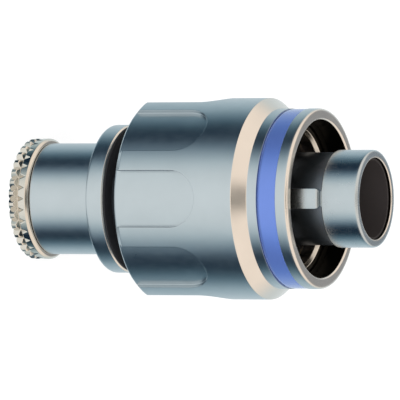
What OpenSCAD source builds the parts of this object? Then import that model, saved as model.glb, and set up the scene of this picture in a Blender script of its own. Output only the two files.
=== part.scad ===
// Push-pull circular plug, nose up, standing on the rear face of its gland nut.
// The axis is +Z, the origin is the centre of the rear face, and the polarising key faces -Y.

/* [Gland nut] */
// Diameter over the knurl points
knurl_d = 12.5; // [12.2:0.1:13.5]
// Number of knurl points in a row
knurl_count = 33; // [24:1:40]
// Depth of the knurl notches at the middle groove
knurl_depth = 0.45; // [0.3:0.05:0.55]
// Length of the knurled head
nut_head_l = 2.1; // [1.8:0.1:3]
// Length of the threaded shank inside the back shell
nut_shank_l = 2.6; // [2.2:0.1:2.9]
// Diameter of the threaded shank
nut_thread_d = 9.1; // [8.9:0.05:9.3]
// Cable hole through the nut
nut_bore_d = 7; // [6.2:0.1:7.4]
// Advance of the nut for one turn
nut_pitch = 0.5; // [0.35:0.05:0.75]

/* [Cable gland] */
// Hole of the rubber gland, which takes the cable
cable_d = 6; // [4.5:0.1:6.4]
// Length of the rubber gland
gland_l = 2.2; // [1.8:0.1:2.4]
// Thickness of the thrust washer between nut and gland
washer_t = 0.5; // [0.4:0.05:0.6]
// Length of the pressure bush in front of the gland
bush_l = 1.6; // [1.2:0.1:2.4]
// Gap between the gland and the tail of the body
tail_gap = 0.3; // [0.2:0.05:0.6]

/* [Back shell] */
// Diameter of the plain part of the back shell
shell_d = 11.5; // [11.3:0.1:12]
// Length of the plain part
shell_l = 7.25; // [6.5:0.25:12]
// Diameter of the collar
collar_d = 15.3; // [14:0.1:15.8]
// Length of the collar
collar_l = 1.95; // [1.6:0.05:3]
// Diameter of the screwed tail
tail_d = 10.2; // [10:0.05:10.3]
// Thickness of the flat seal in front of the collar
rear_seal_t = 0.2; // [0.15:0.05:0.5]
// Section of the sealing ring under the collar
oring_t = 0.6; // [0.5:0.05:0.65]

/* [Release sleeve] */
// Largest diameter of the sleeve
sleeve_d = 20.7; // [20.3:0.1:23]
// Number of grip pockets
pocket_count = 8; // [6:1:9]
// Depth of a grip pocket, whose floor is round like the sleeve
pocket_depth = 0.42; // [0.25:0.01:0.55]
// Width of a grip pocket, and of the cutter that leaves its round end
pocket_w = 5.8; // [3:0.1:6]
// Length of a pocket up to its round end
pocket_l = 6.25; // [4:0.25:9]
// Bevel of the sleeve's rear edge
rear_bevel = 0.6; // [0.3:0.05:0.9]
// Length from the rear edge to the polished bevel
grip_l = 13.25; // [12.5:0.25:18]
// Length of the polished bevel
bevel_l = 1.3; // [0.8:0.05:2]
// Diameter in front of the bevel
front_d = 18.5; // [18.3:0.05:19.4]
// Length from the bevel to the front face
front_l = 4.45; // [4.25:0.05:6]
// Diameter of the front mouth
mouth_d = 16.2; // [15.8:0.05:16.5]
// Length of the mouth's lip
lip_l = 0.45; // [0.3:0.05:0.6]
// Length of the land that locks the fingers
land_l = 2.2; // [1.8:0.1:2.6]
// Depth of the groove that frees the fingers
relief_depth = 0.35; // [0.3:0.05:0.4]
// Room round the fingers behind the land
finger_room = 0.45; // [0.3:0.05:0.6]
// Gap between the collar and the sleeve's rear edge
sleeve_gap = 2.35; // [2.1:0.05:4]
// Stroke of the sleeve when it is pulled back
stroke = 1.9; // [1.2:0.1:2]

/* [Colour ring] */
// Width of the colour ring
ring_w = 2.1; // [1.4:0.1:2.3]
// Thickness of the colour ring
ring_t = 0.4; // [0.3:0.05:0.45]
// Distance from the sleeve's front face to the ring
ring_gap = 1.3; // [1:0.05:1.7]

/* [Body] */
// Diameter of the body's neck behind the sleeve
neck_d = 11.4; // [11.2:0.05:11.9]
// Diameter that the sleeve's shoulder slides on
barrel_d = 12.7; // [12.5:0.1:13]
// Length of the spring at rest
spring_l = 4.6; // [4.5:0.1:6]
// Thickness of the sleeve's inner shoulder
shoulder_l = 1.4; // [1:0.1:2]
// Thickness of the stop flange
flange_l = 1.2; // [0.8:0.1:1.4]
// Length of the boss that carries the latch
boss_l = 1.8; // [1.5:0.1:2.4]
// Width of the guide rib that stops the sleeve turning
guide_w = 1.2; // [0.8:0.1:2]
// Height of the guide rib
guide_h = 0.55; // [0.4:0.05:0.65]
// Height of the stop flange above the boss
flange_h = 0.2; // [0.15:0.05:0.6]
// Thickness of the seal at the bottom of the mouth
face_seal_t = 0.8; // [0.5:0.1:1.2]

/* [Nose] */
// How far the nose stands out of the sleeve
nose_out = 5.9; // [4.8:0.1:8]
// Length of the ring at the tip of the nose
nose_ring_l = 3.95; // [3:0.05:4.4]
// Wall of that ring
nose_wall = 0.65; // [0.5:0.05:0.9]
// Step down behind that ring
nose_step = 0.25; // [0.1:0.05:0.3]
// Length of the turned-in edge at the tip
tip_lip_l = 0.35; // [0.2:0.05:0.6]
// How far that edge is turned in
tip_lip_h = 0.18; // [0.1:0.02:0.3]
// Width of the polarising key
key_w = 2.1; // [1.4:0.1:2.6]
// Height of the key above the nose
key_h = 0.8; // [0.5:0.05:0.95]
// Length of the key
key_l = 7; // [4:0.25:9]

/* [Contact insert] */
// Diameter of the insert
insert_d = 8.66; // [8.4:0.02:8.7]
// Wall of the insert's front skirt
skirt_wall = 0.36; // [0.25:0.01:0.5]
// Depth from the tip of the nose to the insert's face
face_depth = 7.6; // [7:0.1:9]
// Thickness of the insert
insert_l = 4; // [3:0.1:5]
// Number of contacts in the outer row, besides the middle one
contact_count = 7; // [3:1:8]
// Circle of the outer row of contacts
contact_pcd = 5; // [4.4:0.1:5.4]
// Diameter of a contact pin
pin_d = 0.76; // [0.5:0.02:0.9]
// Length of the solder cup behind the insert
cup_l = 2.5; // [1.5:0.1:4]
// Wall of the carrier tube behind the insert
carrier_wall = 0.75; // [0.6:0.05:0.85]
// Depth from the tip of the nose to the pin tips
pin_depth = 4.4; // [4:0.1:6]

/* [Latch] */
// Number of latch fingers
finger_count = 6; // [4:1:8]
// Width of the slots between fingers
slot_w = 2.5; // [1:0.1:2.8]
// Thickness of a finger
finger_t = 0.4; // [0.3:0.05:0.5]
// Height of the hooks at the finger tips
hook_h = 0.3; // [0.2:0.05:0.45]
// Length of the hooks
hook_l = 1.3; // [0.8:0.1:1.6]
// Height of the bump that the sleeve's mouth locks
bump_h = 0.1; // [0.05:0.01:0.15]
// Wall of the collet's base ring
collet_wall = 0.95; // [0.7:0.05:1.2]
// Depth from the sleeve's front face to the finger tips
tip_depth = 2.75; // [2.55:0.05:3.2]

/* [Spring] */
// Thickness of the washer that the spring stands on
seat_t = 0.6; // [0.4:0.05:0.8]
// Thickness of the snap ring behind that washer
snap_t = 0.4; // [0.3:0.05:0.5]
// Depth of the snap ring in its groove
snap_depth = 0.35; // [0.25:0.05:0.45]
// How far the snap ring stands out of the neck
snap_h = 0.7; // [0.5:0.05:1]
// Gap between the ends of the snap ring
snap_gap = 1.4; // [0.8:0.1:3]
// Distance from the sleeve's rear edge to the snap ring
snap_inset = 0.25; // [0.15:0.05:0.6]
// Wire of the coupling spring
wire_d = 0.5; // [0.35:0.05:0.6]
// Number of turns
spring_turns = 4; // [3:1:5]

/* [Clearances] */
// Radial clearance of a sliding fit
slide_clear = 0.1; // [0.05:0.01:0.15]
// Gap between faces that only meet
rest_gap = 0.05; // [0.02:0.01:0.1]
// Radial clearance of the thread between nut and back shell
thread_clear = 0.05; // [0.03:0.01:0.08]
// Radial clearance of pieces that are pushed together
push_clear = 0.02; // [0.01:0.01:0.03]
// Radial clearance inside and outside the coupling spring
spring_clear = 0.2; // [0.1:0.05:0.3]

/* [Hidden] */
contact_total = contact_count + 1;
$fn = 96;

// Places along the axis, from the rear face forwards
shell_z = nut_head_l + rest_gap;
collar_z = shell_z + shell_l;
neck_z = collar_z + collar_l;
sleeve_z = neck_z + sleeve_gap;
bevel_z = sleeve_z + grip_l;
front_z = bevel_z + bevel_l + front_l;
nose_z = front_z + nose_out;
ring_z = front_z - ring_gap - ring_w;
shank_z = nut_head_l + nut_shank_l;
gland_z = shank_z + washer_t + rest_gap;
bush_z = gland_z + gland_l;
tail_z = bush_z + tail_gap;
carrier_z = bush_z + bush_l;
snap_z = sleeve_z + snap_inset;
seat_z = snap_z + snap_t;
spring_z = seat_z + seat_t;
shoulder_z = spring_z + spring_l;
flange_z = shoulder_z + shoulder_l + rest_gap;
boss_z = flange_z + flange_l;
cavity_z = boss_z + boss_l;
nose_ring_z = nose_z - nose_ring_l;
face_z = nose_z - face_depth;
insert_z = face_z - insert_l;
skirt_z = nose_z - tip_lip_l;
finger_tip_z = front_z - tip_depth;
relief_z = front_z - lip_l;
land_z = finger_tip_z + 2 * slide_clear;

// Radii, from the axis outwards
insert_r = insert_d / 2;
bore_r = insert_r + push_clear;
nose_r = bore_r + nose_wall;
tip_lip_r = bore_r - tip_lip_h;
nose_neck_r = nose_r - nose_step;
key_top_r = nose_neck_r + key_h;
nut_shank_r = nut_thread_d / 2;
shell_bore_r = nut_shank_r + thread_clear;
gland_r = shell_bore_r - push_clear;
tail_r = tail_d / 2;
shell_r = shell_d / 2;
collar_r = collar_d / 2;
neck_r = neck_d / 2;
barrel_r = barrel_d / 2;
guide_r = barrel_r + guide_h;
mouth_r = mouth_d / 2;
bump_r = mouth_r - slide_clear - rest_gap;
finger_r = bump_r - bump_h;
boss_r = finger_r - collet_wall;
flange_r = boss_r + flange_h;
finger_room_r = finger_r + finger_room;
relief_r = mouth_r + relief_depth;
spring_r = guide_r + spring_clear + wire_d / 2;
rear_bore_r = spring_r + wire_d / 2 + 2 * spring_clear;
snap_groove_r = neck_r - snap_depth;
sleeve_r = sleeve_d / 2;
pocket_r = sleeve_r - pocket_depth;
front_r = front_d / 2;
ring_r = front_r - 0.04;
groove_r = ring_r - ring_t;
knurl_r = knurl_d / 2;

// Broken edges, fine and plain, and how far a cutter runs past what it cuts
fine = 0.08;
edge = 0.15;
over = 1;

// Points of an arc about c, from angle a0 to a1
function arc(c, r, a0, a1, n = 5) =
    [for (i = [0:n]) c + r * [cos(a0 + (a1 - a0) * i / n), sin(a0 + (a1 - a0) * i / n)]];

// A ring from radius r0 to r1 and from z0 to z1
module ring(r0, r1, z0, z1)
    rotate_extrude() translate([r0, z0]) square([r1 - r0, z1 - z0]);

// A ring whose two outer edges are broken by c
module edged_ring(r0, r1, z0, z1, c = edge)
    rotate_extrude()
        polygon([[r0, z0], [r1 - c, z0], [r1, z0 + c], [r1, z1 - c], [r1 - c, z1], [r0, z1]]);

// A vee cutter whose bottom line runs from radius r0 at z0 to radius r1 at z1
module vee(r0, z0, r1, z1, depth = 1, spread = 0.95) {
    run = [r1 - r0, z1 - z0];
    translate([r0, 0, z0]) rotate([0, atan2(run[0], run[1]), 0])
        linear_extrude(norm(run))
            polygon([[0, 0], [depth, depth * spread], [depth, -depth * spread]]);
}

// ---- Gland nut and the pieces it presses on ----

// The turned groove parts the knurl in two rows and is a little deeper than the notches
groove_z = nut_head_l * 0.4;
groove_half_w = knurl_depth * 0.6;
rim_l = 0.25;
notch_r = knurl_r - knurl_depth;
groove_r_nut = notch_r - 0.06;
notch_end_z = nut_head_l - rim_l - 0.1;

// One notch: straight through the rear row, then rising out of the front row
module knurl_notch() {
    rise = [knurl_depth, notch_end_z - groove_z];
    vee(notch_r, -over, notch_r, groove_z);
    vee(notch_r, groove_z, notch_r + 1.25 * rise[0], groove_z + 1.25 * rise[1]);
}

module gland_nut() color("gainsboro") difference() {
    rotate_extrude() polygon([
        [nut_bore_d / 2, 2 * edge], [nut_bore_d / 2 + 2 * edge, 0],
        [knurl_r - edge, 0], [knurl_r, edge], [knurl_r, groove_z - groove_half_w],
        [groove_r_nut, groove_z], [knurl_r, groove_z + groove_half_w],
        [knurl_r, nut_head_l - rim_l], [knurl_r - rim_l, nut_head_l],
        [nut_shank_r, nut_head_l], [nut_shank_r, shank_z - edge], [nut_shank_r - edge, shank_z],
        [nut_bore_d / 2, shank_z]]);
    for (i = [0:knurl_count - 1]) rotate([0, 0, i * 360 / knurl_count - 90]) knurl_notch();
}

module thrust_washer() color("silver")
    edged_ring(cable_d / 2 + 2 * edge, gland_r - thread_clear, shank_z, shank_z + washer_t, fine);

// The gland's hole is widened at both ends, and the bush's widens towards the carrier
gland_flare = 0.25;

module cable_gland() color([0.12, 0.12, 0.12]) {
    inner_r = cable_d / 2;
    rotate_extrude() polygon([
        [inner_r + gland_flare, gland_z], [gland_r, gland_z], [gland_r, bush_z],
        [inner_r + gland_flare, bush_z], [inner_r, bush_z - 2 * gland_flare],
        [inner_r, gland_z + 2 * gland_flare]]);
}

module pressure_bush() color("silver")
    rotate_extrude() polygon([
        [cable_d / 2 + gland_flare, bush_z], [insert_r - fine, bush_z], [insert_r, bush_z + fine],
        [insert_r, carrier_z], [insert_r - carrier_wall, carrier_z]]);

// ---- Back shell, its seals, and the collar ----

oring_room_r = tail_r + oring_t;
oring_room_l = oring_t + 2 * rest_gap;

module back_shell() color("lightsteelblue")
    rotate_extrude() polygon(concat(
        [[shell_bore_r + edge, shell_z], [shell_r - fine, shell_z], [shell_r, shell_z + fine]],
        [[shell_r, collar_z]],
        arc([collar_r - 2 * edge, collar_z + 2 * edge], 2 * edge, -90, 0),
        [[collar_r, neck_z - edge], [collar_r - edge, neck_z]],
        [[oring_room_r, neck_z], [oring_room_r, neck_z - oring_room_l]],
        [[tail_r, neck_z - oring_room_l], [tail_r, tail_z], [shell_bore_r, tail_z]],
        [[shell_bore_r, shell_z + edge]]));

module back_oring() color([0.1, 0.1, 0.1])
    rotate_extrude() translate([tail_r + oring_t / 2, neck_z - oring_room_l / 2])
        circle(r = oring_t / 2 - push_clear, $fn = 24);

module rear_seal() color([0.08, 0.08, 0.08])
    edged_ring(neck_r, collar_r - edge, neck_z, neck_z + rear_seal_t, fine);

// ---- Body ----

module body_turning()
    rotate_extrude() polygon(concat(
        [[bore_r, tail_z], [tail_r - fine, tail_z], [tail_r, tail_z + fine], [tail_r, neck_z]],
        [[neck_r, neck_z], [neck_r, snap_z], [snap_groove_r, snap_z], [snap_groove_r, seat_z]],
        [[neck_r, seat_z], [neck_r, spring_z], [barrel_r, spring_z], [barrel_r, flange_z]],
        [[flange_r, flange_z], [flange_r, boss_z], [boss_r, boss_z], [boss_r, cavity_z - fine]],
        [[boss_r - fine, cavity_z], [nose_neck_r, cavity_z], [nose_neck_r, nose_ring_z]],
        [[nose_r - fine, nose_ring_z], [nose_r, nose_ring_z + fine]],
        arc([nose_r - 2 * edge, nose_z - 2 * edge], 2 * edge, 0, 90),
        arc([tip_lip_r + edge, nose_z - edge], edge, 90, 180),
        [[tip_lip_r, skirt_z], [bore_r, skirt_z]]));

// Polarising key, a rib whose front end is sloped on three sides
key_end_z = nose_ring_z - edge;

module polarising_key() {
    root_r = nose_neck_r - edge;
    slope = 0.35;
    intersection() {
        translate([-key_w / 2, -key_top_r, key_end_z - key_l])
            cube([key_w, key_top_r - root_r, key_l]);
        cylinder(r = key_top_r, h = key_end_z + over);
        rotate([90, 0, 0]) linear_extrude(key_top_r + over) polygon([
            [-key_w / 2, key_end_z - key_l], [key_w / 2, key_end_z - key_l],
            [key_w / 2, key_end_z - slope], [key_w / 2 - slope, key_end_z],
            [-key_w / 2 + slope, key_end_z], [-key_w / 2, key_end_z - slope]]);
        rotate([90, 0, 90]) translate([0, 0, -key_w]) linear_extrude(2 * key_w) polygon([
            [-key_top_r, 0], [-key_top_r, key_end_z - slope], [-key_top_r + slope, key_end_z],
            [0, key_end_z], [0, 0]]);
    }
}

// Rib on the barrel that keeps the sleeve from turning
module guide_rib(w, r, z0, z1)
    intersection() {
        translate([-w / 2, -r, z0]) cube([w, r - barrel_r + 2 * edge, z1 - z0]);
        cylinder(r = r, h = z1);
    }

module plug_body() color("silver") {
    body_turning();
    polarising_key();
    guide_rib(guide_w, guide_r, spring_z, flange_z + flange_l / 2);
}

module face_seal() color([0.1, 0.1, 0.1])
    edged_ring(nose_neck_r, boss_r - edge, cavity_z, cavity_z + face_seal_t, fine);

module snap_ring() color("dimgray") difference() {
    ring(snap_groove_r, neck_r + snap_h, snap_z, seat_z);
    translate([-snap_gap / 2, 0, snap_z - over])
        cube([snap_gap, neck_r + snap_h + over, snap_t + 2 * over]);
}

module spring_seat() color("silver")
    edged_ring(neck_r, rear_bore_r - slide_clear, seat_z, spring_z, fine);

// ---- Coupling spring ----

wire_sides = 6;
turn_steps = 20;

// Rings of points round the wire's centre line
function coil_point(i, j) =
    let (a = 360 * i / turn_steps, b = 360 * j / wire_sides,
         run = spring_l - wire_d - 2 * rest_gap,
         z = spring_z + rest_gap + wire_d / 2 + run * i / (turn_steps * spring_turns),
         r = spring_r + wire_d / 2 * cos(b))
    [r * cos(a), r * sin(a), z + wire_d / 2 * sin(b)];

module coupling_spring() color("lightgray") {
    last = turn_steps * spring_turns;
    polyhedron(
        points = [for (i = [0:last], j = [0:wire_sides - 1]) coil_point(i, j)],
        faces = concat(
            [[for (j = [0:wire_sides - 1]) j]],
            [[for (j = [wire_sides - 1:-1:0]) last * wire_sides + j]],
            [for (i = [0:last - 1], j = [0:wire_sides - 1])
                let (k = (j + 1) % wire_sides, a = i * wire_sides, b = a + wire_sides)
                [a + j, b + j, b + k, a + k]]));
}

// ---- Latch collet ----

// The hook has a lead-in at the tip and a slope at its rear, which lets the plug be pulled out
module collet_turning() {
    lead_in_l = 0.4;
    hook_z = finger_tip_z - lead_in_l;
    inner_r = finger_r - finger_t;
    hook_r = inner_r - hook_h;
    base_l = boss_l - finger_t;
    rotate_extrude() polygon([
        [boss_r, boss_z], [finger_r, boss_z], [finger_r, hook_z - hook_l - 2 * bump_h],
        [bump_r, hook_z - hook_l], [bump_r, finger_tip_z - fine], [bump_r - fine, finger_tip_z],
        [hook_r + 0.8 * hook_h, finger_tip_z], [hook_r, hook_z], [hook_r, hook_z - hook_l],
        [inner_r, hook_z - hook_l - hook_h], [inner_r, boss_z + base_l],
        [boss_r, boss_z + base_l]]);
}

module collet_slot() {
    root_z = boss_z + boss_l;
    rotate([0, 90, 0]) cylinder(d = slot_w, h = mouth_r, $fn = 32);
    translate([0, -slot_w / 2, 0]) cube([mouth_r, slot_w, finger_tip_z - root_z + over]);
}

module latch_collet() color("whitesmoke") difference() {
    collet_turning();
    for (i = [0:finger_count - 1])
        rotate([0, 0, 90 + (i + 0.5) * 360 / finger_count])
            translate([0, 0, boss_z + boss_l + slot_w / 2]) collet_slot();
}

// ---- Release sleeve ----

module sleeve_turning()
    rotate_extrude() polygon(concat(
        [[rear_bore_r + edge, sleeve_z], [sleeve_r - rear_bevel, sleeve_z]],
        [[sleeve_r, sleeve_z + rear_bevel], [sleeve_r, bevel_z]],
        [[front_r + fine, bevel_z + bevel_l], [front_r, bevel_z + bevel_l]],
        [[front_r, ring_z], [groove_r, ring_z], [groove_r, ring_z + ring_w]],
        [[front_r, ring_z + ring_w]],
        arc([front_r - 2 * edge, front_z - 2 * edge], 2 * edge, 0, 90),
        [[mouth_r + edge, front_z], [mouth_r, front_z - edge], [mouth_r, relief_z]],
        [[relief_r, relief_z - relief_depth / 2], [relief_r, land_z + relief_depth / 2]],
        [[mouth_r, land_z], [mouth_r, land_z - land_l]],
        [[finger_room_r, land_z - land_l - relief_depth / 2]],
        [[finger_room_r, flange_z - rest_gap], [barrel_r + slide_clear, flange_z - rest_gap]],
        [[barrel_r + slide_clear, shoulder_z], [rear_bore_r, shoulder_z]],
        [[rear_bore_r, sleeve_z + edge]]));

// Cutter for a pocket that is open at the rear edge and round at its front end
module grip_pocket() difference() {
    rotate([90, 0, 0]) linear_extrude(sleeve_r + over) {
        translate([-pocket_w / 2, sleeve_z - over]) square([pocket_w, pocket_l + over]);
        translate([0, sleeve_z + pocket_l]) circle(d = pocket_w);
    }
    translate([0, 0, sleeve_z - 2 * over]) cylinder(r = pocket_r, h = pocket_l + pocket_w + 3 * over);
}

module release_sleeve() color("slategray") difference() {
    sleeve_turning();
    for (i = [0:pocket_count - 1]) rotate([0, 0, i * 360 / pocket_count]) grip_pocket();
    guide_rib(guide_w + 2 * slide_clear, guide_r + slide_clear, shoulder_z - over, flange_z);
}

// The ring is lower towards the grip, where it shows a sloped edge
module colour_ring() color("royalblue")
    rotate_extrude() polygon([
        [groove_r, ring_z], [ring_r - edge, ring_z], [ring_r, ring_z + 2 * edge],
        [ring_r, ring_z + ring_w - fine], [ring_r - fine, ring_z + ring_w],
        [groove_r, ring_z + ring_w]]);

// ---- Contact insert ----

pin_r = pin_d / 2;
contact_step = 0.11;
stem_r = pin_r + contact_step;
cup_r = stem_r + contact_step;
cup_wall = 0.15;

// Contact 1 stands on the axis and the others on the outer row
function contact_place(i) =
    let (a = 360 * (i - 2) / contact_count - 90)
    i == 1 ? [0, 0] : contact_pcd / 2 * [cos(a), sin(a)];

module insert() color([0.1, 0.1, 0.1]) difference() {
    rotate_extrude() polygon([
        [0, insert_z], [insert_r - fine, insert_z], [insert_r, insert_z + fine],
        [insert_r, skirt_z], [insert_r - skirt_wall, skirt_z],
        [insert_r - skirt_wall, face_z], [0, face_z]]);
    for (i = [1:contact_total]) translate(contact_place(i))
        translate([0, 0, insert_z - over])
            cylinder(r = stem_r, h = insert_l + 2 * over, $fn = 32);
}

module contact(i) color("gold") translate(contact_place(i)) difference() {
    rotate_extrude($fn = 32) polygon(concat(
        [[0, insert_z - cup_l], [cup_r, insert_z - cup_l], [cup_r, insert_z]],
        [[stem_r, insert_z], [stem_r, face_z], [pin_r, face_z]],
        arc([0, nose_z - pin_depth - pin_r], pin_r, 0, 90)));
    translate([0, 0, insert_z - cup_l - over])
        cylinder(r = cup_r - cup_wall, h = 0.8 * cup_l + over, $fn = 32);
}

// Half of the tube behind the insert; side is -1 for the left half and 1 for the right
module carrier_half(side) color("gold") difference() {
    size = insert_r + over;
    ring(insert_r - carrier_wall, insert_r, carrier_z, insert_z);
    translate([side > 0 ? -size : -rest_gap, -size, carrier_z - over])
        cube([size + rest_gap, 2 * size, insert_z - carrier_z + 2 * over]);
}

gland_nut();
thrust_washer();
cable_gland();
pressure_bush();
back_shell();
back_oring();
rear_seal();
plug_body();
snap_ring();
spring_seat();
coupling_spring();
latch_collet();
face_seal();
release_sleeve();
colour_ring();
insert();
carrier_half(-1);  // carrier_left
carrier_half(1);  // carrier_right
for (i = [1:contact_total])
    contact(i);
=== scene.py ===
"""Dresses the push-pull plug: turned metal, knurl, grip pockets, latch, spring and contacts."""

from __future__ import annotations

import logging
import math
from dataclasses import dataclass, field
from enum import Enum
from functools import cache
from typing import Callable, Sequence

import bmesh
import bpy
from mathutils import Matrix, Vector

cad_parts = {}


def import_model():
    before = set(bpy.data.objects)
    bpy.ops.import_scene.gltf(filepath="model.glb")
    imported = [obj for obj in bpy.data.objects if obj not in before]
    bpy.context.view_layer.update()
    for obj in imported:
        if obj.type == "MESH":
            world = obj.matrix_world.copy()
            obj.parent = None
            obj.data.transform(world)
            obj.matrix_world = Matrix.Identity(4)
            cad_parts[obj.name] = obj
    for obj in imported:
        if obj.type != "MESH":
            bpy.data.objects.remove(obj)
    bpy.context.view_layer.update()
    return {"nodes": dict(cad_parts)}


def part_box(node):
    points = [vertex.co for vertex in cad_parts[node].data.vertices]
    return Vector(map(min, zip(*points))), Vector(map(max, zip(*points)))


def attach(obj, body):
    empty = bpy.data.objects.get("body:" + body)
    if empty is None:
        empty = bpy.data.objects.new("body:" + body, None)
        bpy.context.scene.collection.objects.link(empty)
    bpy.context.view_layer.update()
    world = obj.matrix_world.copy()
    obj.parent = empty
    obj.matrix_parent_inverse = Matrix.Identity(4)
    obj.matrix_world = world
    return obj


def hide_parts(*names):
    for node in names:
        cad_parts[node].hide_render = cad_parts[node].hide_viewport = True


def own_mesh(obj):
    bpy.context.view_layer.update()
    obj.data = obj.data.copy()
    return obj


LOG = logging.getLogger("plug")
MM = 0.001
AROUND = 192

Point = tuple[float, ...]
Flat = list[tuple[float, float]]


# ---- Turned outlines and meshes -------------------------------------------------------------


@dataclass(frozen=True)
class Span:
    """Where a CAD node stands: its lowest and highest place on the axis and its radius, in mm."""

    low: float
    high: float
    radius: float

    @classmethod
    @cache
    def of(cls, node: str) -> "Span":
        """Reads the span of a CAD node.

        Args:
            node: The node's name.

        Returns:
            The node's span in millimetres.
        """
        low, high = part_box(node)
        return cls(low[2] / MM, high[2] / MM, max(high[0], high[1]) / MM)


def rounded(points: Sequence[Point], closed: bool = True, steps: int = 4) -> Flat:
    """Rounds the corners of an outline and holds each rounding with a point on both sides.

    Args:
        points: Radius, height and, where the corner is round, its cut-back, in mm.
        closed: Whether the last point joins the first.
        steps: Pieces in each rounding.

    Returns:
        The finer outline.
    """
    hold = 0.6
    out: Flat = []
    count = len(points)
    for i, point in enumerate(points):
        here = Vector(point[:2])
        cut = point[2] if len(point) > 2 else 0.0
        if not cut or (not closed and i in (0, count - 1)):
            out.append((here.x, here.y))
            continue
        back = Vector(points[i - 1][:2]) - here
        ahead = Vector(points[(i + 1) % count][:2]) - here
        cut = min(cut, 0.48 * back.length, 0.48 * ahead.length)
        grip_back = min(cut * (1 + hold), 0.49 * back.length)
        grip_ahead = min(cut * (1 + hold), 0.49 * ahead.length)
        start = here + back.normalized() * cut
        end = here + ahead.normalized() * cut
        held = here + back.normalized() * grip_back
        out.append((held.x, held.y))
        for k in range(steps + 1):
            t = k / steps
            at = start * (1 - t) ** 2 + here * 2 * t * (1 - t) + end * t**2
            out.append((at.x, at.y))
        held = here + ahead.normalized() * grip_ahead
        out.append((held.x, held.y))
    return out


def clean(mesh: bpy.types.Mesh, sharp: float = 32.0, outward: bool = True) -> bpy.types.Mesh:
    """Welds a mesh, turns its faces outwards and shades it smooth up to an angle.

    Args:
        mesh: The mesh to clean.
        sharp: Edges steeper than this many degrees stay sharp.
        outward: Whether the mesh is closed, so that its faces can be turned outwards.

    Returns:
        The same mesh.
    """
    work = bmesh.new()
    work.from_mesh(mesh)
    bmesh.ops.remove_doubles(work, verts=work.verts, dist=0.0008 * MM)
    bmesh.ops.dissolve_degenerate(work, edges=work.edges, dist=0.0004 * MM)
    if outward:
        bmesh.ops.recalc_face_normals(work, faces=work.faces)
    work.to_mesh(mesh)
    work.free()
    mesh.polygons.foreach_set("use_smooth", [True] * len(mesh.polygons))
    mesh.set_sharp_from_angle(angle=math.radians(sharp))
    mesh.update()
    return mesh


def mesh_of(name: str, points: Sequence[Vector], faces: Sequence[Sequence[int]]) -> bpy.types.Mesh:
    """Makes a mesh from points in mm.

    Args:
        name: The mesh's name.
        points: Places in mm.
        faces: Loops of point numbers.

    Returns:
        The mesh, in metres.
    """
    mesh = bpy.data.meshes.new(name)
    mesh.from_pydata([p * MM for p in points], [], faces)
    mesh.update()
    return mesh


def turned(name: str, outline: Flat, around: int = AROUND) -> bpy.types.Mesh:
    """Turns a closed outline about the axis.

    Args:
        name: The mesh's name.
        outline: Radius and height of each point, in mm.
        around: Steps in a full turn.

    Returns:
        A closed, clean mesh.
    """
    points: list[Vector] = []
    for i in range(around):
        turn = 2 * math.pi * i / around
        points += [Vector((r * math.sin(turn), -r * math.cos(turn), z)) for r, z in outline]
    size = len(outline)
    faces = []
    for i in range(around):
        a, b = i * size, (i + 1) % around * size
        for k in range(size):
            n = (k + 1) % size
            if outline[k][0] < 1e-9 and outline[n][0] < 1e-9:
                continue
            faces.append([a + k, b + k, b + n, a + n])
    return clean(mesh_of(name, points, faces))


def softmin(a: float, b: float, blend: float) -> float:
    """Returns the smaller of two values, with the crossing rounded over about the blend."""
    low = min(a, b)
    gap = abs(a - b)
    return low - blend * math.log1p(math.exp(-min(gap / blend, 60.0)))


def make_object(name: str, mesh: bpy.types.Mesh) -> bpy.types.Object:
    """Links a new object for a mesh and returns it."""
    piece = bpy.data.objects.new(name, mesh)
    bpy.context.scene.collection.objects.link(piece)
    return piece


def drop(piece: bpy.types.Object) -> None:
    """Deletes a helper object and its mesh."""
    mesh = piece.data
    bpy.data.objects.remove(piece)
    if mesh.users == 0:
        bpy.data.meshes.remove(mesh)


def baked(piece: bpy.types.Object, name: str) -> bpy.types.Mesh:
    """Turns an object with modifiers into a plain mesh, and deletes the object.

    Args:
        piece: The helper object.
        name: The new mesh's name.

    Returns:
        The evaluated mesh.
    """
    bpy.context.view_layer.update()
    graph = bpy.context.evaluated_depsgraph_get()
    mesh = bpy.data.meshes.new_from_object(piece.evaluated_get(graph), depsgraph=graph)
    mesh.name = name
    piece.modifiers.clear()
    drop(piece)
    return mesh


class Cut(Enum):
    """How one solid works on another."""

    TAKE_AWAY = "DIFFERENCE"
    ADD = "UNION"


def combined(mesh: bpy.types.Mesh, tool: bpy.types.Mesh, how: Cut) -> bpy.types.Mesh:
    """Cuts a closed mesh with another or joins them.

    Args:
        mesh: The solid that stays.
        tool: The solid that works on it.
        how: Whether the tool is taken away or added.

    Returns:
        The clean result.
    """
    name = mesh.name
    base, other = make_object("base", mesh), make_object("tool", tool)
    boolean = base.modifiers.new("combine", "BOOLEAN")
    boolean.operation, boolean.solver, boolean.object = how.value, "EXACT", other
    result = baked(base, name)
    drop(other)
    return clean(result)


# ---- Geometry Nodes -------------------------------------------------------------------------


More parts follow.
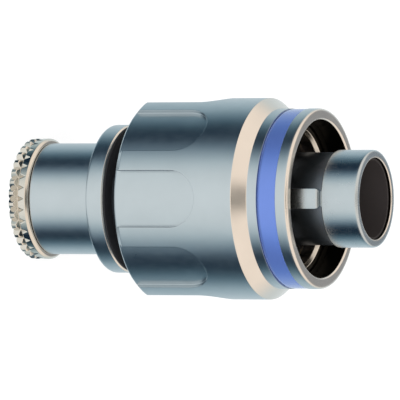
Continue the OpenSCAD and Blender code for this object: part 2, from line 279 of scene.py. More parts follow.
class NodeTree:
    """A Geometry Nodes tree with named inputs, which works on one mesh and leaves a plain mesh."""

    def __init__(self, name: str) -> None:
        """Starts a tree with a geometry input and output."""
        self.tree = bpy.data.node_groups.new(name, "GeometryNodeTree")
        self.tree.interface.new_socket("Geometry", in_out="OUTPUT", socket_type="NodeSocketGeometry")
        self.tree.interface.new_socket("Geometry", in_out="INPUT", socket_type="NodeSocketGeometry")
        self.start = self.tree.nodes.new("NodeGroupInput")
        self.end = self.tree.nodes.new("NodeGroupOutput")
        self.values: dict[str, object] = {}

    def size(self, name: str, value: object, kind: str = "NodeSocketFloat") -> object:
        """Adds a named input.

        Args:
            name: The input's name.
            value: Its value for this piece.
            kind: The socket's kind.

        Returns:
            The output socket of the group's input node.
        """
        item = self.tree.interface.new_socket(name, in_out="INPUT", socket_type=kind)
        self.values[item.identifier] = value
        return self.start.outputs[name]

    def node(self, kind: str, settings: dict | None = None, **inputs: object) -> bpy.types.Node:
        """Adds a node and links or sets its inputs.

        Args:
            kind: The node's type.
            settings: Properties of the node itself.
            **inputs: Input names, with _ for a space, and their sockets or values.

        Returns:
            The node.
        """
        made = self.tree.nodes.new(kind)
        for key, value in (settings or {}).items():
            setattr(made, key, value)
        for key, value in inputs.items():
            socket = made.inputs[key.replace("_", " ")]
            if isinstance(value, bpy.types.NodeSocket):
                self.tree.links.new(value, socket)
            else:
                socket.default_value = value
        return made

    def math(self, operation: str, a: object, b: object = 0.0) -> object:
        """Adds a Math node.

        Args:
            operation: Its operation.
            a: The first socket or value.
            b: The second socket or value.

        Returns:
            Its output socket.
        """
        made = self.tree.nodes.new("ShaderNodeMath")
        made.operation = operation
        for socket, value in zip(made.inputs, (a, b)):
            if isinstance(value, bpy.types.NodeSocket):
                self.tree.links.new(value, socket)
            else:
                socket.default_value = value
        return made.outputs[0]

    def turns(self, count: object, instance: object) -> object:
        """Repeats a shape at even angles about the axis.

        Args:
            count: The socket with the number of copies.
            instance: The geometry socket of one copy.

        Returns:
            The realized geometry socket.
        """
        places = self.node("GeometryNodePoints", Count=count)
        index = self.node("GeometryNodeInputIndex")
        angle = self.math("MULTIPLY", index.outputs[0], self.math("DIVIDE", 2 * math.pi, count))
        turn = self.node("ShaderNodeCombineXYZ", Z=angle)
        copies = self.node(
            "GeometryNodeInstanceOnPoints",
            Points=places.outputs[0],
            Instance=instance,
            Rotation=turn.outputs[0],
        )
        return self.node("GeometryNodeRealizeInstances", Geometry=copies.outputs[0]).outputs[0]

    def finish(self, geometry: object, finish: bpy.types.Material) -> None:
        """Ends the tree in Realize Instances and Set Material."""
        whole = self.node("GeometryNodeRealizeInstances", Geometry=geometry)
        dress = self.size("Finish", finish, "NodeSocketMaterial")
        last = self.node("GeometryNodeSetMaterial", Geometry=whole.outputs[0], Material=dress)
        self.tree.links.new(last.outputs[0], self.end.inputs[0])

    def run(self, name: str, mesh: bpy.types.Mesh) -> bpy.types.Mesh:
        """Runs the tree on a mesh.

        Args:
            name: The new mesh's name.
            mesh: The mesh that goes in.

        Returns:
            The plain mesh that comes out.
        """
        piece = make_object("nodes", mesh)
        modifier = piece.modifiers.new("nodes", "NODES")
        modifier.node_group = self.tree
        for key, value in self.values.items():
            modifier[key] = value
        return baked(piece, name)


def round_pattern(name: str, part: bpy.types.Mesh, count: int,
                  finish: bpy.types.Material, weld: bool = True) -> bpy.types.Mesh:
    """Repeats one sector about the axis and welds the sectors together.

    Args:
        name: The new mesh's name.
        part: One sector, drawn at -Y.
        count: How many sectors make a full turn.
        finish: The material.
        weld: Whether neighbours share their edges.

    Returns:
        The whole ring as a plain mesh.
    """
    nodes = NodeTree(name + "_pattern")
    copies = nodes.turns(nodes.size("Count", count, "NodeSocketInt"), nodes.start.outputs[0])
    if weld:
        reach = nodes.size("Weld Distance", 0.002 * MM)
        copies = nodes.node("GeometryNodeMergeByDistance", Geometry=copies, Distance=reach).outputs[0]
    nodes.finish(copies, finish)
    return nodes.run(name, part)


# ---- Finishes -------------------------------------------------------------------------------


@dataclass(frozen=True)
class Finish:
    """A surface with its colour, gloss, grain, turning marks and small changes of tone.

    Attributes:
        name: The material's name.
        colour: Linear colour.
        metal: 1 for bare or plated metal, 0 for plastic or rubber.
        rough: Mean roughness.
        rough_range: How far the roughness wanders.
        tone: How far the colour wanders, as a share.
        grain: Height of the fine grain, in mm.
        grain_size: Size of the grain, in mm.
        marks: Height of the turning marks, in mm.
        mark_pitch: Distance between turning marks, in mm.
        coat: Clear gloss over the colour.
    """

    name: str
    colour: tuple[float, float, float]
    metal: float = 1.0
    rough: float = 0.3
    rough_range: float = 0.05
    tone: float = 0.05
    grain: float = 0.0006
    grain_size: float = 0.08
    marks: float = 0.0
    mark_pitch: float = 0.12
    coat: float = 0.0

    def material(self) -> bpy.types.Material:
        """Builds the material, once.

        Returns:
            The material.
        """
        known = bpy.data.materials.get(self.name)
        if known:
            return known
        made = bpy.data.materials.new(self.name)
        made.use_nodes = True
        tree = made.node_tree
        tree.nodes.clear()
        add, link = tree.nodes.new, tree.links.new
        out = add("ShaderNodeOutputMaterial")
        shader = add("ShaderNodeBsdfPrincipled")
        link(shader.outputs[0], out.inputs[0])
        shader.inputs["Metallic"].default_value = self.metal
        shader.inputs["Coat Weight"].default_value = self.coat
        shader.inputs["Coat Roughness"].default_value = 0.12
        place = add("ShaderNodeTexCoord").outputs["Object"]

        cloud = self._noise(tree, place, 0.35, 3.0)
        tone = add("ShaderNodeMix")
        tone.data_type = "RGBA"
        tone.inputs["A"].default_value = (*[c * (1 - self.tone) for c in self.colour], 1)
        tone.inputs["B"].default_value = (*[min(1.0, c * (1 + self.tone)) for c in self.colour], 1)
        link(cloud, tone.inputs["Factor"])
        link(tone.outputs["Result"], shader.inputs["Base Color"])

        speck = self._noise(tree, place, 1.2, 4.0)
        spread = add("ShaderNodeMapRange")
        spread.inputs["To Min"].default_value = max(0.02, self.rough - self.rough_range)
        spread.inputs["To Max"].default_value = self.rough + self.rough_range
        link(speck, spread.inputs["Value"])
        link(spread.outputs[0], shader.inputs["Roughness"])

        fine = self._noise(tree, place, 1 / self.grain_size, 2.0)
        grain = add("ShaderNodeBump")
        grain.inputs["Distance"].default_value = self.grain * MM
        link(fine, grain.inputs["Height"])
        normal = grain.outputs[0]
        if self.marks:
            lathe = add("ShaderNodeBump")
            lathe.inputs["Distance"].default_value = self.marks * MM
            link(self._marks(tree, place), lathe.inputs["Height"])
            link(normal, lathe.inputs["Normal"])
            normal = lathe.outputs[0]
        link(normal, shader.inputs["Normal"])
        return made

    def _noise(self, tree: bpy.types.NodeTree, place: object, per_mm: float, detail: float) -> object:
        """Adds a noise that changes a given number of times in a millimetre, and returns it."""
        noise = tree.nodes.new("ShaderNodeTexNoise")
        noise.inputs["Scale"].default_value = per_mm / MM
        noise.inputs["Detail"].default_value = detail
        tree.links.new(place, noise.inputs["Vector"])
        return noise.outputs["Fac"]

    def _marks(self, tree: bpy.types.NodeTree, place: object) -> object:
        """Adds turning marks that run round the axis, on walls and end faces alike.

        Args:
            tree: The material's tree.
            place: The socket with Object coordinates.

        Returns:
            The socket with the marks' height.
        """
        add, link = tree.nodes.new, tree.links.new
        parts = add("ShaderNodeSeparateXYZ")
        link(place, parts.inputs[0])
        flat = add("ShaderNodeCombineXYZ")
        link(parts.outputs["X"], flat.inputs["X"])
        link(parts.outputs["Y"], flat.inputs["Y"])
        radius = add("ShaderNodeVectorMath")
        radius.operation = "LENGTH"
        link(flat.outputs[0], radius.inputs[0])
        along = add("ShaderNodeMath")
        link(parts.outputs["Z"], along.inputs[0])
        link(radius.outputs["Value"], along.inputs[1])
        marks = add("ShaderNodeTexNoise")
        marks.noise_dimensions = "1D"
        marks.inputs["Scale"].default_value = 1 / (self.mark_pitch * MM)
        marks.inputs["Detail"].default_value = 3.0
        link(along.outputs[0], marks.inputs["W"])
        return marks.outputs["Fac"]


SATIN = Finish("satin_chrome_plate", (0.56, 0.61, 0.64), rough=0.30, marks=0.0012, mark_pitch=0.09)
SATIN_NOSE = Finish("satin_chrome_nose", (0.54, 0.59, 0.62), rough=0.26, marks=0.0008, mark_pitch=0.07)
POLISHED = Finish("polished_bevel", (0.78, 0.72, 0.66), rough=0.22, tone=0.07, grain=0.0004)
NICKEL = Finish("bright_nickel_plate", (0.72, 0.67, 0.60), rough=0.20, tone=0.08, grain=0.0005)
# Painted shade: a near-black colour for the bores and for the surfaces deep in the sleeve's cavity,
# where shade falls.
PAINTED_SHADE_BORE = Finish("painted_shade_bore", (0.012, 0.011, 0.009), rough=0.45, tone=0.2, marks=0.001)
# Painted shade: a dark blue-grey colour for the necks between the collar and the sleeve and behind the
# nose ring, which lie in shade.
PAINTED_SHADE_NECK = Finish("painted_shade_neck", (0.20, 0.23, 0.27), rough=0.34, tone=0.1, marks=0.001)
STEEL = Finish("spring_wire_steel", (0.50, 0.50, 0.50), rough=0.28, marks=0.0)
BLUE = Finish("blue_band_gloss", (0.135, 0.235, 0.66), metal=0.35, rough=0.24, tone=0.05, grain=0.0003,
              coat=0.6)
RUBBER = Finish("black_rubber", (0.012, 0.011, 0.009), metal=0.0, rough=0.55, rough_range=0.1,
                tone=0.2, grain=0.002, grain_size=0.15)
INSULATOR = Finish("black_insulator", (0.010, 0.009, 0.008), metal=0.0, rough=0.5, tone=0.2,
                   grain=0.001, grain_size=0.1)
GOLD = Finish("gold_plate", (0.90, 0.62, 0.24), rough=0.2, tone=0.06, marks=0.0005)


class Slot(Enum):
    """The record's material slots."""

    CHROME = "satin_chrome"
    NICKEL = "bright_nickel"
    STEEL = "spring_steel"
    BLUE = "blue_ring"
    RUBBER = "black_rubber"
    INSULATOR = "black_insulator"
    GOLD = "gold_plate"


class Body(Enum):
    """The bodies that pieces ride on."""

    PLUG = "body"
    SLEEVE = "sleeve"
    WASHER = "washer"
    NUT = "nut"


Pick = Callable[[float, float, Vector], int]


def dressed(name: str, mesh: bpy.types.Mesh, finishes: Sequence[Finish], slot: Slot, body: Body,
            nodes: Sequence[str], pick: Pick | None = None) -> bpy.types.Object:
    """Makes a piece of a mesh, gives it its finishes and puts it in a CAD node's place.

    Args:
        name: The piece's name.
        mesh: Its mesh.
        finishes: Its finishes.
        slot: The record's slot; not used here.
        body: The body that it rides on.
        nodes: The CAD nodes that it stands for.
        pick: Gives the number of a face's finish from its radius and height in mm and its normal.

    Returns:
        The piece.
    """
    mesh.materials.clear()
    for finish in finishes:
        mesh.materials.append(finish.material())
    numbers = [0] * len(mesh.polygons)
    if pick:
        for face in mesh.polygons:
            at = face.center / MM
            numbers[face.index] = pick(math.hypot(at.x, at.y), at.z, face.normal)
    mesh.polygons.foreach_set("material_index", numbers)
    mesh.update()
    piece = make_object(name, mesh)
    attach(piece, body.value)
    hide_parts(*nodes)
    LOG.info("%s: %d faces on %s for %s", name, len(mesh.polygons), body.value, ", ".join(nodes))
    return piece


# ---- Rear end -------------------------------------------------------------------------------


@dataclass
class RearEnd:
    """The knurled gland nut, the back shell and its flat seal, in mm."""

    knurl_count: int = 33
    knurl_depth: float = 0.45
    knurl_spread: float = 0.95
    bore_r: float = 3.5
    head_l: float = 2.1
    shank_r: float = 4.55
    rim_l: float = 0.25
    edge: float = 0.15
    end_face_r: float = 5.55
    back_face_r: float = 5.75
    neck_r: float = 5.7
    shell_r: float = 5.75
    tail_r: float = 5.1
    tail_z: float = 7.75
    collar_l: float = 1.95
    seal_room_r: float = 5.7
    seal_room_l: float = 0.7
    shell_bore_r: float = 4.6

    def build(self) -> None:
        """Builds the nut, the shell and the seal."""
        nut = round_pattern("knurled_nut", self._knurl_sector(), self.knurl_count, NICKEL.material())
        dressed("knurled_nut", clean(nut, 50), [NICKEL], Slot.NICKEL, Body.NUT, ["gland_nut"])
        dressed("rear_shell", turned("rear_shell", self._shell()), [SATIN, POLISHED], Slot.CHROME,
                Body.PLUG, ["back_shell"], self._shell_pick)
        seal = Span.of("rear_seal")
        ring = rounded([(self.neck_r, seal.low), (seal.radius, seal.low, 0.04),
                        (seal.radius, seal.high, 0.06), (self.neck_r, seal.high)])
        dressed("collar_seal", turned("collar_seal", ring), [RUBBER], Slot.RUBBER, Body.PLUG,
                ["rear_seal"])

    def _knurl_radius(self, across: float, z: float, top: float) -> float:
        """Radius of the knurled rim.

        Args:
            across: Distance along the rim from the nearest notch, in mm.
            z: Height in mm.
            top: Radius over the knurl points.

        Returns:
            The radius there, with the crests a little rounded.
        """
        groove_z = self.head_l * 0.4
        notch_end = self.head_l - self.rim_l - 0.1
        rise = max(0.0, (z - groove_z) / (notch_end - groove_z))
        depth = self.knurl_depth * (1 - rise)
        notch = top - depth + abs(across) / self.knurl_spread
        groove_depth = self.knurl_depth + 0.06
        groove = top - groove_depth + abs(z - groove_z) * groove_depth / (self.knurl_depth * 0.6)
        land = min(top, top - self.edge + z, top - (z - self.head_l + self.rim_l))
        blend = 0.012
        return softmin(softmin(land, notch, blend), groove, blend)

    def _knurl_sector(self) -> bpy.types.Mesh:
        """Draws one pitch of the nut, from the bore round the knurl to the shank's end.

        Returns:
            The sector's mesh.
        """
        span = Span.of("gland_nut")
        steps, rows = 24, 44
        half = math.pi / self.knurl_count
        angles = [half * (2 * i / steps - 1) for i in range(steps + 1)]
        heights = [self.head_l * k / rows for k in range(rows + 1)]
        inner = rounded([(self.bore_r, span.high), (self.bore_r, 2 * self.edge),
                         (self.bore_r + 2 * self.edge, 0.0, 0.05), (self.end_face_r, 0.0)], closed=False)
        outer = rounded([(self.back_face_r, self.head_l), (self.shank_r, self.head_l),
                         (self.shank_r, span.high - self.edge, 0.03),
                         (self.shank_r - self.edge, span.high, 0.03), (self.bore_r, span.high)],
                        closed=False)
        points, faces = [], []
        size = len(inner) + len(heights) + len(outer)
        for angle in angles:
            column = list(inner)
            column += [(self._knurl_radius(angle * span.radius, z, span.radius), z) for z in heights]
            column += outer
            points += [Vector((r * math.sin(angle), -r * math.cos(angle), z)) for r, z in column]
        for i in range(steps):
            a, b = i * size, (i + 1) * size
            faces += [[a + k, b + k, b + k + 1, a + k + 1] for k in range(size - 1)]
        return mesh_of("knurl_sector", points, faces)

    def _shell(self) -> Flat:
        """Outline of the back shell with its collar."""
        span = Span.of("back_shell")
        collar_z = span.high - self.collar_l
        return rounded([
            (self.shell_bore_r + self.edge, span.low), (self.shell_r, span.low, 0.1),
            (self.shell_r, collar_z, 0.04), (span.radius, collar_z, 0.32),
            (span.radius, span.high - self.edge, 0.03), (span.radius - self.edge, span.high, 0.03),
            (self.seal_room_r, span.high), (self.seal_room_r, span.high - self.seal_room_l),
            (self.tail_r, span.high - self.seal_room_l), (self.tail_r, self.tail_z),
            (self.shell_bore_r, self.tail_z), (self.shell_bore_r, span.low + self.edge)])

    def _shell_pick(self, r: float, z: float, normal: Vector) -> int:
        """Gives the collar's front bevel the polished finish."""
        span = Span.of("back_shell")
        return 1 if r > span.radius - self.edge - 0.02 and 0.3 < normal.z < 0.95 else 0


# ---- Body and nose --------------------------------------------------------------------------


@dataclass
class NoseBody:
    """The body from its screwed tail to the nose, with the polarising key and the guide rib."""

    bore_r: float = 4.35
    tail_z: float = 7.75
    tail_r: float = 5.1
    neck_z: float = 11.35
    neck_r: float = 5.7
    snap_r: float = 5.35
    snap: tuple[float, float] = (13.95, 14.35)
    spring_z: float = 14.95
    barrel_r: float = 6.35
    flange: tuple[float, float] = (21.0, 22.2)
    flange_r: float = 7.1
    boss_r: float = 6.9
    cavity_z: float = 24.0
    front_r: float = 4.75
    ring_z: float = 34.65
    ring_r: float = 5.0
    lip_r: float = 4.17
    lip_l: float = 0.35
    key_w: float = 2.1
    key_l: float = 7.0
    key_top: float = 5.55
    key_slope: float = 0.35
    rib_w: float = 1.2
    rib_r: float = 6.9

    def build(self) -> None:
        """Builds the body."""
        span = Span.of("plug_body")
        outline = rounded([
            (self.bore_r, self.tail_z), (self.tail_r, self.tail_z, 0.08), (self.tail_r, self.neck_z),
            (self.neck_r, self.neck_z), (self.neck_r, self.snap[0]), (self.snap_r, self.snap[0]),
            (self.snap_r, self.snap[1]), (self.neck_r, self.snap[1]), (self.neck_r, self.spring_z),
            (self.barrel_r, self.spring_z, 0.05), (self.barrel_r, self.flange[0]),
            (self.flange_r, self.flange[0], 0.05), (self.flange_r, self.flange[1]),
            (self.boss_r, self.flange[1]), (self.boss_r, self.cavity_z, 0.08),
            (self.front_r, self.cavity_z), (self.front_r, self.ring_z), (self.ring_r, self.ring_z, 0.07),
            (self.ring_r, span.high, 0.36), (self.lip_r, span.high, 0.17),
            (self.lip_r, span.high - self.lip_l), (self.bore_r, span.high - self.lip_l)])
        mesh = turned("nose_body", outline)
        mesh = combined(mesh, self._key(), Cut.ADD)
        mesh = combined(mesh, self._rib(), Cut.ADD)
        dressed("nose_body", mesh, [SATIN_NOSE, PAINTED_SHADE_NECK, PAINTED_SHADE_BORE, POLISHED], Slot.CHROME, Body.PLUG,
                ["plug_body"], self._pick)

    def _key(self) -> bpy.types.Mesh:
        """Draws the key, sloped at its front end and with its long edges broken.

        Returns:
            The key as a closed block that reaches into the nose.
        """
        end = self.ring_z - 0.15
        start = end - self.key_l
        broken = 0.09
        half = self.key_w / 2
        side = [(half, self.front_r - 0.15), (half, self.key_top - broken - 0.02),
                (half - broken * 0.3, self.key_top - broken * 0.3), (half - broken, self.key_top)]
        section = [(-x, r) for x, r in side] + [(x, r) for x, r in reversed(side)]
        stations = [(start, 1.0, 0.0), (end - self.key_slope, 1.0, 0.0),
                    (end - self.key_slope * 0.4, 0.93, 0.10), (end, 0.72, self.key_slope)]
        points, faces = [], []
        for z, narrow, low in stations:
            for x, r in section:
                height = min(r, self.key_top - low)
                drop_r = self.key_top - math.sqrt(self.key_top**2 - (x * narrow) ** 2)
                points.append(Vector((x * narrow, -(height - drop_r * (r > self.front_r)), z)))
        size = len(section)
        for row in range(len(stations) - 1):
            a, b = row * size, (row + 1) * size
            faces += [[a + k, a + (k + 1) % size, b + (k + 1) % size, b + k] for k in range(size)]
        faces.append(list(range(size)))
        faces.append([(len(stations) - 1) * size + k for k in reversed(range(size))])
        return clean(mesh_of("key", points, faces))

    def _rib(self) -> bpy.types.Mesh:
        """Draws the guide rib on the barrel as a closed block and returns it."""
        half, low, high = self.rib_w / 2, self.spring_z, self.flange[0] + 0.6
        corners = [(-half, self.barrel_r - 0.2), (half, self.barrel_r - 0.2),
                   (half, self.rib_r - 0.06), (-half, self.rib_r - 0.06)]
        points = [Vector((x, -r, z)) for z in (low, high) for x, r in corners]
        faces = [[0, 1, 2, 3], [7, 6, 5, 4], [0, 4, 5, 1], [1, 5, 6, 2], [2, 6, 7, 3], [3, 7, 4, 0]]
        return clean(mesh_of("rib", points, faces))

    def _pick(self, r: float, z: float, normal: Vector) -> int:
        """Gives the nose and the inner bevel their finishes; paints dark shade on the bores and on the
        barrel inside the sleeve, and paints lighter shade on the neck behind the nose and on the rear
        neck and tail.
        """
        if r < self.bore_r + 0.02 and abs(normal.z) < 0.5:
            return 2
        if z > self.ring_z - 0.1:
            return 3 if r < self.lip_r + 0.14 and normal.z > 0.2 else 0
        if z > self.cavity_z + 0.5:
            return 0 if r > self.front_r + 0.03 else 1
        return 1 if z < self.spring_z else 2


# ---- Release sleeve -------------------------------------------------------------------------


@dataclass
class SleeveUnit:
    """The release sleeve with its milled grip pockets, and the colour ring let into it."""

    pocket_count: int = 8
    pocket_w: float = 5.8
    pocket_depth: float = 0.42
    pocket_l: float = 6.25
    rear_bevel: float = 0.6
    grip_l: float = 13.25
    bevel_l: float = 1.3
    front_r: float = 9.25
    groove_r: float = 8.81
    ring_r: float = 9.21
    mouth_r: float = 8.1
    relief_r: float = 8.45
    relief_l: float = 0.175
    lip_l: float = 0.45
    land: tuple[float, float] = (27.95, 30.15)
    room_r: float = 8.3
    shoulder: tuple[float, float] = (19.55, 20.95)
    shoulder_r: float = 6.45
    rear_bore_r: float = 8.0
    edge: float = 0.15
    broken: float = 0.06
    foot: float = 0.10
    slot_w: float = 1.4
    slot_r: float = 7.0
    columns: list[tuple[float, float]] = field(default_factory=list)

    def build(self) -> None:
        """Builds the sleeve and its colour ring."""
        mesh = round_pattern("grip_sleeve", self._sector(), self.pocket_count, SATIN.material())
        mesh = combined(clean(mesh, 40), self._guide_slot(), Cut.TAKE_AWAY)
        dressed("grip_sleeve", mesh, [SATIN, POLISHED, PAINTED_SHADE_BORE], Slot.CHROME, Body.SLEEVE,
                ["release_sleeve"], self._pick)
        ring = Span.of("colour_ring")
        band = rounded([(self.groove_r, ring.low), (self.ring_r - self.edge, ring.low, 0.04),
                        (self.ring_r, ring.low + 2 * self.edge, 0.12),
                        (self.ring_r, ring.high, 0.07), (self.groove_r, ring.high)])
        dressed("colour_band", turned("colour_band", band), [BLUE], Slot.BLUE, Body.SLEEVE,
                ["colour_ring"])

    def _strip(self) -> Flat:
        """Outline from the start of the polished bevel round the front and back through the bore."""
        span, ring = Span.of("release_sleeve"), Span.of("colour_ring")
        bevel_z = span.low + self.grip_l
        return rounded([
            (span.radius, bevel_z - 0.25), (span.radius, bevel_z, 0.05),
            (self.front_r, bevel_z + self.bevel_l, 0.06), (self.front_r, ring.low, 0.03),
            (self.groove_r, ring.low), (self.groove_r, ring.high), (self.front_r, ring.high, 0.03),
            (self.front_r, span.high, 0.42), (self.mouth_r + self.edge, span.high, 0.08),
            (self.mouth_r, span.high - self.edge, 0.04), (self.mouth_r, span.high - self.lip_l),
            (self.relief_r, span.high - self.lip_l - self.relief_l),
            (self.relief_r, self.land[1] + self.relief_l), (self.mouth_r, self.land[1]),
            (self.mouth_r, self.land[0]), (self.room_r, self.land[0] - self.relief_l),
            (self.room_r, self.shoulder[1]), (self.shoulder_r, self.shoulder[1]),
            (self.shoulder_r, self.shoulder[0]), (self.rear_bore_r, self.shoulder[0]),
            (self.rear_bore_r, span.low + self.edge), (self.rear_bore_r + self.edge, span.low)],
            closed=False)

    def _rings(self, radius: float) -> list[tuple[float, float]]:
        """Lines that follow the pocket's edge, from its middle outwards.

        Args:
            radius: The sleeve's radius.

        Returns:
            Distance from the pocket's centre line and radius of each line, in mm.
        """
        half, floor = self.pocket_w / 2, radius - self.pocket_depth
        lines = [(k * (half - self.foot - 0.05) / 3, floor) for k in range(4)]
        arc = [math.radians(a) for a in (0, 30, 60, 90)]
        lines += [(half - self.foot + self.foot * math.sin(a),
                   floor + self.foot - self.foot * math.cos(a)) for a in arc]
        lines += [(half + self.broken - self.broken * math.cos(a),
                   radius - self.broken + self.broken * math.sin(a)) for a in arc]
        lines += [(half + self.broken + 0.04, radius), (half + self.broken + 0.2, radius)]
        last = math.asin(lines[-1][0] / radius)
        side = math.pi / self.pocket_count
        lines += [(radius * math.sin(last + (side - last) * k / 3), radius) for k in (1, 2, 3)]
        return lines

    def _place(self, line: int, sign: int, z: float, angle: float | None = None) -> Vector:
        """Place on the sleeve's outer surface.

        Args:
            line: Number of the line that follows the pocket's edge.
            sign: Side of the pocket, -1 or 1.
            z: Height in mm, or the pocket's centre height where an angle is given.
            angle: Angle round the pocket's end, from straight ahead.

        Returns:
            The place in mm.
        """
        span = Span.of("release_sleeve")
        across, radius = self.columns[line]
        if angle is not None:
            x = across * math.sin(angle)
            return Vector((x, -math.sqrt(radius**2 - x**2), z + across * math.cos(angle)))
        cone = span.radius - self.rear_bevel + z - span.low
        here = softmin(radius, cone, 0.012) if z > span.low + 1e-6 else min(radius, cone)
        start, end = self.columns[-4][0], self.columns[-1][0]
        share = max(0.0, (across - start) / (end - start))
        x = across * (1 - share * (1 - here / span.radius)) * sign
        return Vector((x, -math.sqrt(here**2 - x**2), z))

    def _sector(self) -> bpy.types.Mesh:
        """Draws one sector of the whole sleeve, with one pocket in its middle.

        Returns:
            The sector's mesh.
        """
        span = Span.of("release_sleeve")
        strip = self._strip()
        self.columns = self._rings(span.radius)
        last = len(self.columns) - 1
        steps = 2 * last
        centre_z = span.low + self.pocket_l
        crease = self.rear_bevel - self.pocket_depth
        rows = [0.0, crease * 0.5, crease - 0.02, crease + 0.02, 0.27, 0.36, 0.45, 0.54,
                self.rear_bevel - 0.02, self.rear_bevel + 0.02, self.rear_bevel + 0.08, 1.0, 3.0,
                self.pocket_l]
        points: list[Vector] = []
        faces: list[list[int]] = []

        def add(place: Vector) -> int:
            """Adds a point and returns its number."""
            points.append(place)
            return len(points) - 1

        def sheet(lines: list[list[int]]) -> None:
            """Fills the quads between neighbouring lines of points."""
            for one, two in zip(lines, lines[1:]):
                faces.extend([one[k], one[k + 1], two[k + 1], two[k]] for k in range(len(one) - 1))

        signed = [(abs(k), -1 if k < 0 else 1) for k in range(-last, last + 1)]
        side = math.pi / self.pocket_count
        turns = [side * (2 * i / steps - 1) for i in range(steps + 1)]
        rear = [add(Vector((strip[-1][0] * math.sin(a), -strip[-1][0] * math.cos(a), span.low)))
                for a in turns]
        straight = [[add(self._place(k, s, span.low + z)) for k, s in signed] for z in rows]
        sheet([rear] + straight)

        edge_line = last - 3
        bends = [math.pi * (i / steps - 0.5) for i in range(steps + 1)]
        ends = [[add(self._place(k, 1, centre_z, a)) for a in bends] for k in range(1, edge_line + 1)]
        pole = add(self._place(0, 1, centre_z))
        faces.extend([pole, ends[0][i], ends[0][i + 1]] for i in range(steps))
        top_z = strip[0][1]
        up = steps // 6
        border = [(-side, centre_z + (top_z - centre_z) * i / up) for i in range(up)]
        level = steps - 2 * up
        border += [(side * (2 * i / level - 1), top_z) for i in range(level + 1)]
        border += [(side, z) for _, z in reversed(border[:up])]
        inner = [(math.asin(points[n].x / span.radius), points[n].z) for n in ends[-1]]
        for share in (1 / 3, 2 / 3, 1.0):
            ring = []
            for (a0, z0), (a1, z1) in zip(inner, border):
                a, z = a0 + (a1 - a0) * share, z0 + (z1 - z0) * share
                ring.append(add(Vector((span.radius * math.sin(a), -span.radius * math.cos(a), z))))
            ends.append(ring)
        sheet(ends)

        tops = [side * (2 * i / level - 1) for i in range(level + 1)]
        around = [[add(Vector((r * math.sin(a), -r * math.cos(a), z))) for a in tops]
                  for r, z in strip[:-1]]
        sheet(around)
        low = [add(points[n].copy()) for n in rear]
        self._bridge(points, faces, around[-1], low)
        return mesh_of("sleeve_sector", points, faces)

    @staticmethod
    def _bridge(points: list[Vector], faces: list[list[int]], one: list[int], two: list[int]) -> None:
        """Joins two rows that have a different number of points.

        Args:
            points: All points.
            faces: All faces, which grow.
            one: Numbers of the first row's points.
            two: Numbers of the second row's points.
        """
        i = j = 0
        while i < len(one) - 1 or j < len(two) - 1:
            next_one = points[one[i + 1]].x if i < len(one) - 1 else math.inf
            next_two = points[two[j + 1]].x if j < len(two) - 1 else math.inf
            if next_one <= next_two:
                faces.append([one[i], one[i + 1], two[j]])
                i += 1
            else:
                faces.append([one[i], two[j + 1], two[j]])
                j += 1

    def _guide_slot(self) -> bpy.types.Mesh:
        """Draws the cutter for the slot that takes the guide rib, and returns it."""
        half, low, high = self.slot_w / 2, self.shoulder[0] - 0.3, self.shoulder[1] + 0.3
        corners = [(-half, self.shoulder_r - 0.5), (half, self.shoulder_r - 0.5),
                   (half, self.slot_r), (-half, self.slot_r)]
        points = [Vector((x, -r, z)) for z in (low, high) for x, r in corners]
        faces = [[0, 1, 2, 3], [7, 6, 5, 4], [0, 4, 5, 1], [1, 5, 6, 2], [2, 6, 7, 3], [3, 7, 4, 0]]
        return clean(mesh_of("slot", points, faces))

    def _pick(self, r: float, z: float, normal: Vector) -> int:
        """Gives the bevel and the front lip their finishes, and paints shade on the bore."""
        span = Span.of("release_sleeve")
        start = span.low + self.grip_l
        if r < self.mouth_r + 0.01 or (r < self.relief_r + 0.02 and z < span.high - self.lip_l):
            return 2
        if start - 0.03 < z < start + self.bevel_l and 0.2 < normal.z < 0.95 and r > self.front_r:
            return 1
        return 1 if z > span.high - 0.5 and normal.z > 0.15 else 0


# ---- Latch, spring and seals ----------------------------------------------------------------


